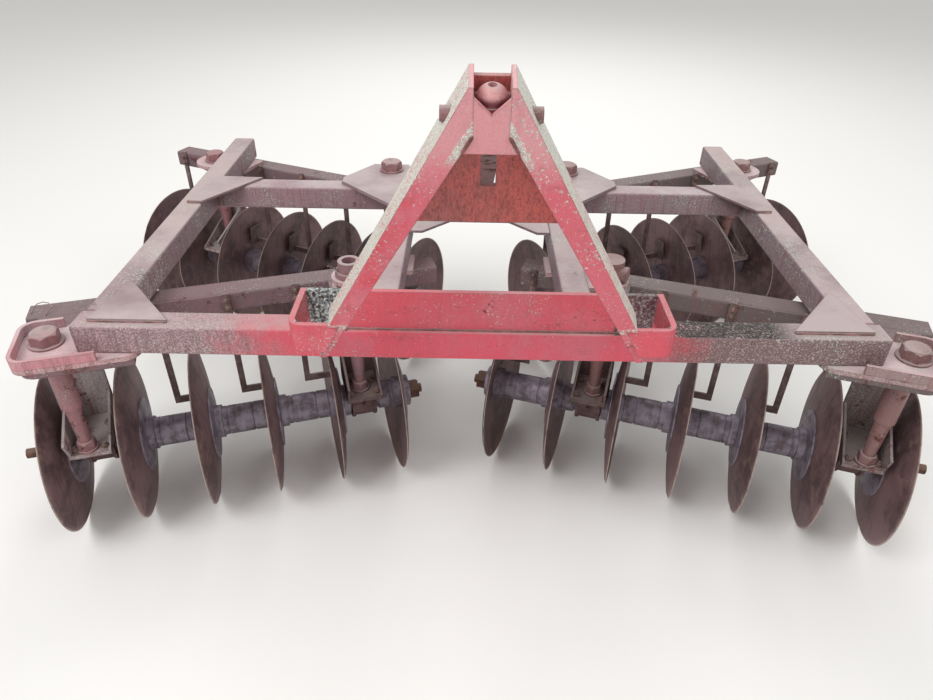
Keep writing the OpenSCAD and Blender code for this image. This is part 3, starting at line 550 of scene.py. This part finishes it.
pivotPaint = paintedSteel(
    "pivotPaint", paint="#98686c", faded="#8b7375", rustFrom=0.62, dustiness=0.6, lichenFrom=0.70,
    right="#80625f", grime=0.4)
scraperIron = rustedIron("scraperIron", "#7d6a69", "#5a4a49", "#9b918e")
bearingIron = rustedIron("bearingIron", "#7a5f60", "#554242", "#a8988f")
axleIron = rustedIron("axleIron", "#6f4a3c", "#3e2a24", "#8e7a6d")
boltIron = rustedIron("boltIron", "#7d5f5a", "#523f3c", "#a39590")
weldIron = rustedIron("weldIron", "#8a5a58", "#5b3a38", "#a89a98", dustiness=0.55)
wireIron = rustedIron("wireIron", "#a08d82", "#6d5a50", "#bdb0a6")

finishOf = {
    "front_beam": beamPaint, "hitch_strap": strapPaint, "hitch_leg_left": legPaint,
    "hitch_leg_right": legPaint, "hitch_front_plate": platePaint, "hitch_latch_plate": latchPaint,
    "hitch_cap": capPaint, "hitch_pin": pivotPaint, "hitch_stay": stayPaint,
    "rear_crossbeam": crossbeamPaint, "corner_gussets": gussetPaint, "pivot_plates": gussetPaint,
    "gang_brackets": bracketPaint, "bracket_rims": rimPaint, "front_pivots": pivotPaint,
    "rear_pivots": pivotPaint,
}
for name in gang["names"]:
    finishOf[name + "_discs"] = discSteel(name + "DiscSteel", axles[name])
    finishOf[name + "_spools"] = spoolIron(name + "SpoolIron", axles[name])

# the gangs' other pieces go by the end of their names
finishByEnding = {
    "_beam": gangBeamPaint, "_hangers": hangerPaint, "_bearings": bearingIron, "_scrapers": scraperIron,
    "_axle": axleIron,
}


def finishFor(name):
    if name in finishOf:
        return finishOf[name]
    return next((mat for ending, mat in finishByEnding.items() if name.endswith(ending)), railPaint)


for name, piece in nodes.items():
    for holder in piece.material_slots:
        holder.material = finishFor(name)
    if not piece.material_slots:
        piece.data.materials.append(finishFor(name))
print("finishes on the frame's pieces")


# small parts: each list of points and faces becomes one piece

def newShape():
    return {"points": [], "faces": []}


def addRings(shape, rings):
    # joins rings of points to a skin and closes its ends
    start = len(shape["points"])
    sides = len(rings[0])
    for ring in rings:
        shape["points"] += ring
    for row in range(len(rings) - 1):
        for side in range(sides):
            a = start + row * sides + side
            b = start + row * sides + (side + 1) % sides
            shape["faces"].append((a, b, b + sides, a + sides))
    last = start + (len(rings) - 1) * sides
    shape["faces"].append(tuple(start + side for side in reversed(range(sides))))
    shape["faces"].append(tuple(last + side for side in range(sides)))


def ringAt(middle, first, second, radius, sides):
    turns = [2 * math.pi * side / sides for side in range(sides)]
    return [middle + (first * math.cos(turn) + second * math.sin(turn)) * radius for turn in turns]


def acrossTo(axis):
    # two directions square to an axis
    axis = axis.normalized()
    first = axis.cross(Vector((0, 0, 1)) if abs(axis.z) < 0.9 else Vector((1, 0, 0))).normalized()
    return first, axis.cross(first)


def addTurned(shape, foot, axis, profile, sides):
    # profile: radius and height of each ring, from the foot up
    first, second = acrossTo(axis)
    addRings(shape, [ringAt(foot + axis.normalized() * height, first, second, radius, sides)
                     for radius, height in profile])


def addTube(shape, path, radii, sides):
    rings = []
    for i, point in enumerate(path):
        ahead = path[min(i + 1, len(path) - 1)] - path[max(i - 1, 0)]
        if i == 0:
            side, over = acrossTo(ahead)
        else:
            over = ahead.normalized().cross(side).normalized()
            side = over.cross(ahead.normalized()).normalized()
        rings.append(ringAt(point, side, over, radii[i], sides))
    addRings(shape, rings)


sharpFrom = math.radians(40)     # edges that bend more than this stay sharp


def addPiece(name, shape, body, mat):
    mesh = bpy.data.meshes.new(name)
    mesh.from_pydata([tuple(p) for p in shape["points"]], [], shape["faces"])
    mesh.materials.append(mat)
    mesh.shade_smooth()
    mesh.set_sharp_from_angle(angle=sharpFrom)
    piece = bpy.data.objects.new(name, mesh)
    bpy.context.scene.collection.objects.link(piece)
    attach(piece, body)


# weld seams: scalloped beads along the joints

weld = {
    "radius": 0.0045, "thinRadius": 0.0035, "scallop": 0.0065, "step": 0.003, "sides": 7,
    "wobbleScale": 60, "lift": 0.0006,
    "inset": 0.003,        # the seam's line inside a tube's edges
    "shortest": 0.012,     # no bead on plate edges shorter than this
    "margin": 0.004,       # a plate's edge has to be this far inside a tube's top
    "level": 0.0002,       # how close to the tubes' top a plate's corners lie
}


def addBead(shape, corners, radius=weld["radius"]):
    # a bead from corner to corner, its ripples overlapping like a hand weld's
    for start, end in zip(corners, corners[1:]):
        start = Vector(start)
        end = Vector(end)
        run = (end - start).length
        count = max(3, int(run / weld["step"]))
        path = []
        radii = []
        for i in range(count + 1):
            point = start.lerp(end, i / count)
            wobble = noise.noise(point * weld["wobbleScale"])
            phase = (i / count * run / weld["scallop"]) % 1
            fade = min(1, i / 2 + 0.35, (count - i) / 2 + 0.35)
            path.append(point + Vector((0, 0, weld["lift"] * wobble)))
            radii.append(radius * fade * (0.82 + 0.26 * math.sqrt(phase) + 0.22 * wobble))
        addTube(shape, path, radii, weld["sides"])


def tubeEnd(low, high, y):
    # the loop round a tube's end that meets another tube's face
    x0, x1 = low[0] + weld["inset"], high[0] - weld["inset"]
    z0, z1 = low[2] + weld["inset"], high[2] - weld["inset"]
    return [(x0, y, z0), (x1, y, z0), (x1, y, z1), (x0, y, z1), (x0, y, z0)]


def crossbeamEnd(low, high, x):
    # the same loop for a tube that lies across, round its end at x
    loop = tubeEnd((low[1], 0, low[2]), (high[1], 0, high[2]), 0)
    return [(x, point[0], point[2]) for point in loop]


def topOutline(name, height):
    # edges of a node's plates at a height, seen from above
    mesh = nodes[name].data
    counts = {}
    for poly in mesh.polygons:
        corners = [tuple(round(c, 5) for c in mesh.vertices[v].co) for v in poly.vertices]
        if all(abs(c[2] - height) < weld["level"] for c in corners):
            for pair in zip(corners, corners[1:] + corners[:1]):
                key = tuple(sorted(pair))
                counts[key] = counts.get(key, 0) + 1
    return [edge for edge, count in sorted(counts.items()) if count == 1]


def overTubes(point):
    margin = weld["margin"]
    for name in ("front_beam", "side_rail_left", "side_rail_right", "rear_crossbeam",
                 "inner_rail_left", "inner_rail_right"):
        low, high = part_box(name)
        if low[0] + margin < point.x < high[0] - margin and low[1] + margin < point.y < high[1] - margin:
            return True
    return False


def frameWelds():
    shape = newShape()
    for name in ("side_rail_left", "side_rail_right", "inner_rail_left", "inner_rail_right"):
        low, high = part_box(name)
        addBead(shape, tubeEnd(low, high, low[1]))
        if name.startswith("inner"):
            addBead(shape, tubeEnd(low, high, high[1]))
    crossLow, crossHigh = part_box("rear_crossbeam")
    for x in (crossLow[0], crossHigh[0]):
        addBead(shape, crossbeamEnd(crossLow, crossHigh, x))
    for name in ("corner_gussets", "pivot_plates"):
        for start, end in topOutline(name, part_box("front_beam")[1][2]):
            isLong = (Vector(start) - Vector(end)).length > weld["shortest"]
            if isLong and overTubes((Vector(start) + Vector(end)) / 2):
                addBead(shape, [start, end])
    addPiece("frame_welds", shape, "frame", weldIron)


frameWelds()

# the hitch leans forward: x across, v up its plane, n out of its front

hitch = {
    "lean": math.radians(15), "foot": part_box("hitch_strap")[1][2], "out": 0.006,
    "legDepth": 0.076, "innerAngle": math.radians(29), "innerApex": 0.543, "headHalf": 0.031,
    "frontPlateFoot": 0.452, "latchFoot": 0.25, "latchInset": 0.010, "strapThickness": 0.014,
}


def onHitch(x, v, n):
    sine, cosine = math.sin(hitch["lean"]), math.cos(hitch["lean"])
    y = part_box("hitch_strap")[0][1] - hitch["out"] - v * sine - n * cosine
    z = hitch["foot"] + v * cosine - n * sine
    return Vector((x, y, z))


def innerEdge(v):
    return max((hitch["innerApex"] - v) * math.tan(hitch["innerAngle"]), hitch["headHalf"])


def hitchWelds():
    shape = newShape()
    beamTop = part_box("front_beam")[1][2]
    half = strapHigh[0]
    for y in (strapHigh[1] - hitch["strapThickness"], strapHigh[1]):
        addBead(shape, [(-half, y, beamTop), (half, y, beamTop)])
    headV = hitch["innerApex"] - hitch["headHalf"] / math.tan(hitch["innerAngle"])
    plates = ((hitch["frontPlateFoot"], 0.0), (hitch["latchFoot"], hitch["latchInset"] - hitch["legDepth"]))
    for side in (-1, 1):
        for foot, n in plates:
            seam = [onHitch(side * innerEdge(v), v, n) for v in (foot, headV)]
            addBead(shape, seam, weld["thinRadius"])
    addPiece("hitch_welds", shape, "frame", weldIron)


hitchWelds()
print("welds laid")


# bolts: washer, chamfered hexagon and the end of the thread

bolt = {
    # radius and height of each ring, as shares of the width across flats
    "washer": ((0.95, 0), (0.95, 0.08), (0.9, 0.12)),
    # radius as a share of the hexagon's corner or of the width, height as a share of the head's
    "head": ((1, 0), (1, 0.8), (0.86, 1)),
    "thread": ((0.30, 0.3), (0.26, 0.42)),
    "threadSunk": 0.001,
    "washerSides": 20, "threadSides": 12,
}


def addBolt(shape, foot, axis, flats, height):
    corner = flats / math.sqrt(3)
    head = foot + axis * flats * bolt["washer"][-1][1]
    washer = [(flats * radius, flats * up) for radius, up in bolt["washer"]]
    hexagon = [(corner * radius, height * up) for radius, up in bolt["head"]]
    thread = [(flats * radius, height * up) for radius, up in bolt["thread"]]
    thread.insert(0, (thread[0][0], -bolt["threadSunk"]))
    addTurned(shape, foot, axis, washer, bolt["washerSides"])
    addTurned(shape, head, axis, hexagon, 6)
    addTurned(shape, head + axis * height, axis, thread, bolt["threadSides"])


hanger = {
    "steps": {"front": (0.075, 0.075), "rear": (0.075, 0.110)},
    "gaps": (0, 4),
    "reach": {"long": 0.140, "short": 0.100},
    "baseTop": 0.074,
    "boltSpread": 0.040,
    "boltInset": 0.018,      # from the base's front end
    "boltAhead": 0.004,      # of the axle line, for the other bolt
    "boltFlats": 0.019,
    "boltHeight": 0.011,
}


def hangerPlaces(name):
    # each hanger's place along the axle, and how far its base reaches forward
    row = name.split("_")[0]
    for order, gap in enumerate(hanger["gaps"]):
        x = gap * gang["discPitch"] + gang["dish"] + hanger["steps"][row][order]
        yield x, hanger["reach"]["long" if row == "front" and order == 0 else "short"]


def hangerBolts():
    shape = newShape()
    up = Vector((0, 0, 1))
    for name in gang["names"]:
        for x, reach in hangerPlaces(name):
            for side in (-1, 1):
                for ahead in (reach - hanger["boltInset"], hanger["boltAhead"]):
                    foot = axles[name].point(x + side * hanger["boltSpread"], -ahead, hanger["baseTop"])
                    addBolt(shape, foot, up, hanger["boltFlats"], hanger["boltHeight"])
    addPiece("hanger_bolts", shape, "frame", boltIron)


scraper = {"boltFlats": 0.013, "boltHeight": 0.008, "boltDrops": (0.020, 0.046)}


def solidsOf(name):
    # the points of each separate solid in a node
    mesh = nodes[name].data
    parent = {}

    def root(v):
        while parent.setdefault(v, v) != v:
            parent[v] = parent[parent[v]]
            v = parent[v]
        return v

    keys = [tuple(round(c, 5) for c in v.co) for v in mesh.vertices]
    for poly in mesh.polygons:
        first = root(keys[poly.vertices[0]])
        for v in poly.vertices[1:]:
            parent[root(keys[v])] = first
    groups = {}
    for key in keys:
        groups.setdefault(root(key), []).append(Vector(key))
    return list(groups.values())


def nearestAxle(row, point):
    return axles[row + ("_left" if point.x < 0 else "_right")]


def scraperBolts():
    # two bolts on the front of each shank, under its top
    shape = newShape()
    for row in ("front", "rear"):
        for points in solidsOf(row + "_scrapers"):
            axle = nearestAxle(row, sum(points, Vector()) / len(points))
            local = [axle.local(p) for p in points]
            top = max(p.z for p in local)
            shank = [p for p in local if p.z > top - 0.001]
            x = sum(p.x for p in shank) / len(shank)
            face = min(p.y for p in shank)
            for drop in scraper["boltDrops"]:
                foot = axle.point(x, face, top - drop)
                addBolt(shape, foot, -axle.back, scraper["boltFlats"], scraper["boltHeight"])
    addPiece("scraper_bolts", shape, "frame", boltIron)


nipple = {
    "ahead": 0.054, "up": 0.02,      # its foot, from the axle line
    "profile": ((0.006, 0), (0.006, 0.005), (0.0032, 0.007), (0.0032, 0.011),
                (0.0045, 0.013), (0.0045, 0.015), (0.002, 0.017)),
    "sides": 10,
}


def greaseNipples():
    # one on the front of each bearing housing
    shape = newShape()
    for name in gang["names"]:
        axle = axles[name]
        for x, reach in hangerPlaces(name):
            foot = axle.point(x, -nipple["ahead"], nipple["up"])
            addTurned(shape, foot, -axle.back, nipple["profile"], nipple["sides"])
    addPiece("grease_nipples", shape, "frame", boltIron)


hangerBolts()
scraperBolts()
greaseNipples()
print("bolts and nipples set")

# two ends of wire: one lies over the left bracket's gang beam, one is tied round the open post

wire = {
    "radius": 0.0014,
    "sides": 6,
    # height is over the gang beam, and y is behind the front beam's front face
    "overBeam": ((-1.207, 0.188, -0.003), (-1.201, 0.205, 0.006), (-1.194, 0.219, 0.014),
                 (-1.209, 0.233, 0.018), (-1.226, 0.235, 0.020), (-1.239, 0.227, 0.018),
                 (-1.246, 0.213, 0.010), (-1.249, 0.195, -0.002)),
    "post": {"gap": 4, "ahead": 0.042, "half": 0.0325, "underBeamTop": 0.015},
    "loop": {"points": 50, "start": 200, "step": 15, "clear": 0.0015, "wave": 0.012,
             "looseFrom": 44, "loose": 0.003},
    "knot": {"points": 40, "step": 0.8, "clear": 0.002, "pitch": 0.0009, "radius": 0.003,
             "forward": 0.010, "rise": 0.0004},
}


def addWire(shape, path):
    addTube(shape, path, [wire["radius"]] * len(path), wire["sides"])


def wires():
    shape = newShape()
    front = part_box("front_beam")[0][1]
    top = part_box("front_left_beam")[1][2]
    addWire(shape, [Vector((x, y + front, top + z)) for x, y, z in wire["overBeam"]])

    post = wire["post"]
    along = post["gap"] * gang["discPitch"] + gang["dish"] + hanger["steps"]["front"][1]
    middle = axles["front_left"].point(along, -post["ahead"], 0)
    middle.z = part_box("front_beam")[1][2] - post["underBeamTop"]

    # twice round the post, with its end standing away
    loop = wire["loop"]
    around = []
    for i in range(loop["points"]):
        turn = math.radians(loop["start"] + i * loop["step"])
        reach = post["half"] + loop["clear"] + max(0, i - loop["looseFrom"]) * loop["loose"]
        height = loop["wave"] * math.sin(i * 0.13)
        around.append(middle + Vector((math.cos(turn) * reach, math.sin(turn) * reach, height)))
    addWire(shape, around)

    # the twisted ends beside it
    knot = wire["knot"]
    twist = []
    for i in range(knot["points"]):
        turn = i * knot["step"]
        out = post["half"] + knot["clear"] + i * knot["pitch"]
        y = knot["radius"] * math.cos(turn) - knot["forward"]
        z = knot["radius"] * math.sin(turn) + i * knot["rise"]
        twist.append(middle + Vector((-out, y, z)))
    addWire(shape, twist)
    addPiece("loose_wires", shape, "frame", wireIron)


wires()
print("wires tied")

# floor and light

studio = {
    "floor": "#e9e8e6", "floorHalf": 30, "floorRoughness": 0.9,
    "background": "#f1f0ee", "worldStrength": 0.75,
    # name, place, size and power of each lamp
    "lamps": (("keyLight", (-3.0, -3.2, 5.0), 3.0, 190), ("fillLight", (4.0, -3.0, 4.0), 3.5, 90),
              ("backLight", (0.5, 5.0, 5.0), 3.0, 150)),
}


def addFloor():
    mesh = bpy.data.meshes.new("floor")
    half = studio["floorHalf"]
    mesh.from_pydata([(-half, -half, 0), (half, -half, 0), (half, half, 0), (-half, half, 0)], [],
                     [(0, 1, 2, 3)])
    floor = bpy.data.objects.new("floor", mesh)
    bpy.context.scene.collection.objects.link(floor)
    mat, place, shader = newFinish("floorFinish", 0.2)
    shader.inputs["Roughness"].default_value = studio["floorRoughness"]
    shader.inputs["Base Color"].default_value = tint(studio["floor"])
    mesh.materials.append(mat)


def addLights():
    for name, place, size, energy in studio["lamps"]:
        lamp = bpy.data.lights.new(name, "AREA")
        lamp.size = size
        lamp.energy = energy
        holder = bpy.data.objects.new(name, lamp)
        holder.location = place
        holder.rotation_euler = (-Vector(place)).to_track_quat("-Z", "Y").to_euler()
        bpy.context.scene.collection.objects.link(holder)
    world = bpy.data.worlds.new("studio")
    world.use_nodes = True
    backdrop = world.node_tree.nodes["Background"]
    backdrop.inputs["Color"].default_value = tint(studio["background"])
    backdrop.inputs["Strength"].default_value = studio["worldStrength"]
    bpy.context.scene.world = world
    bpy.context.scene.view_settings.view_transform = "Standard"


addFloor()
addLights()
print("floor and lights set")
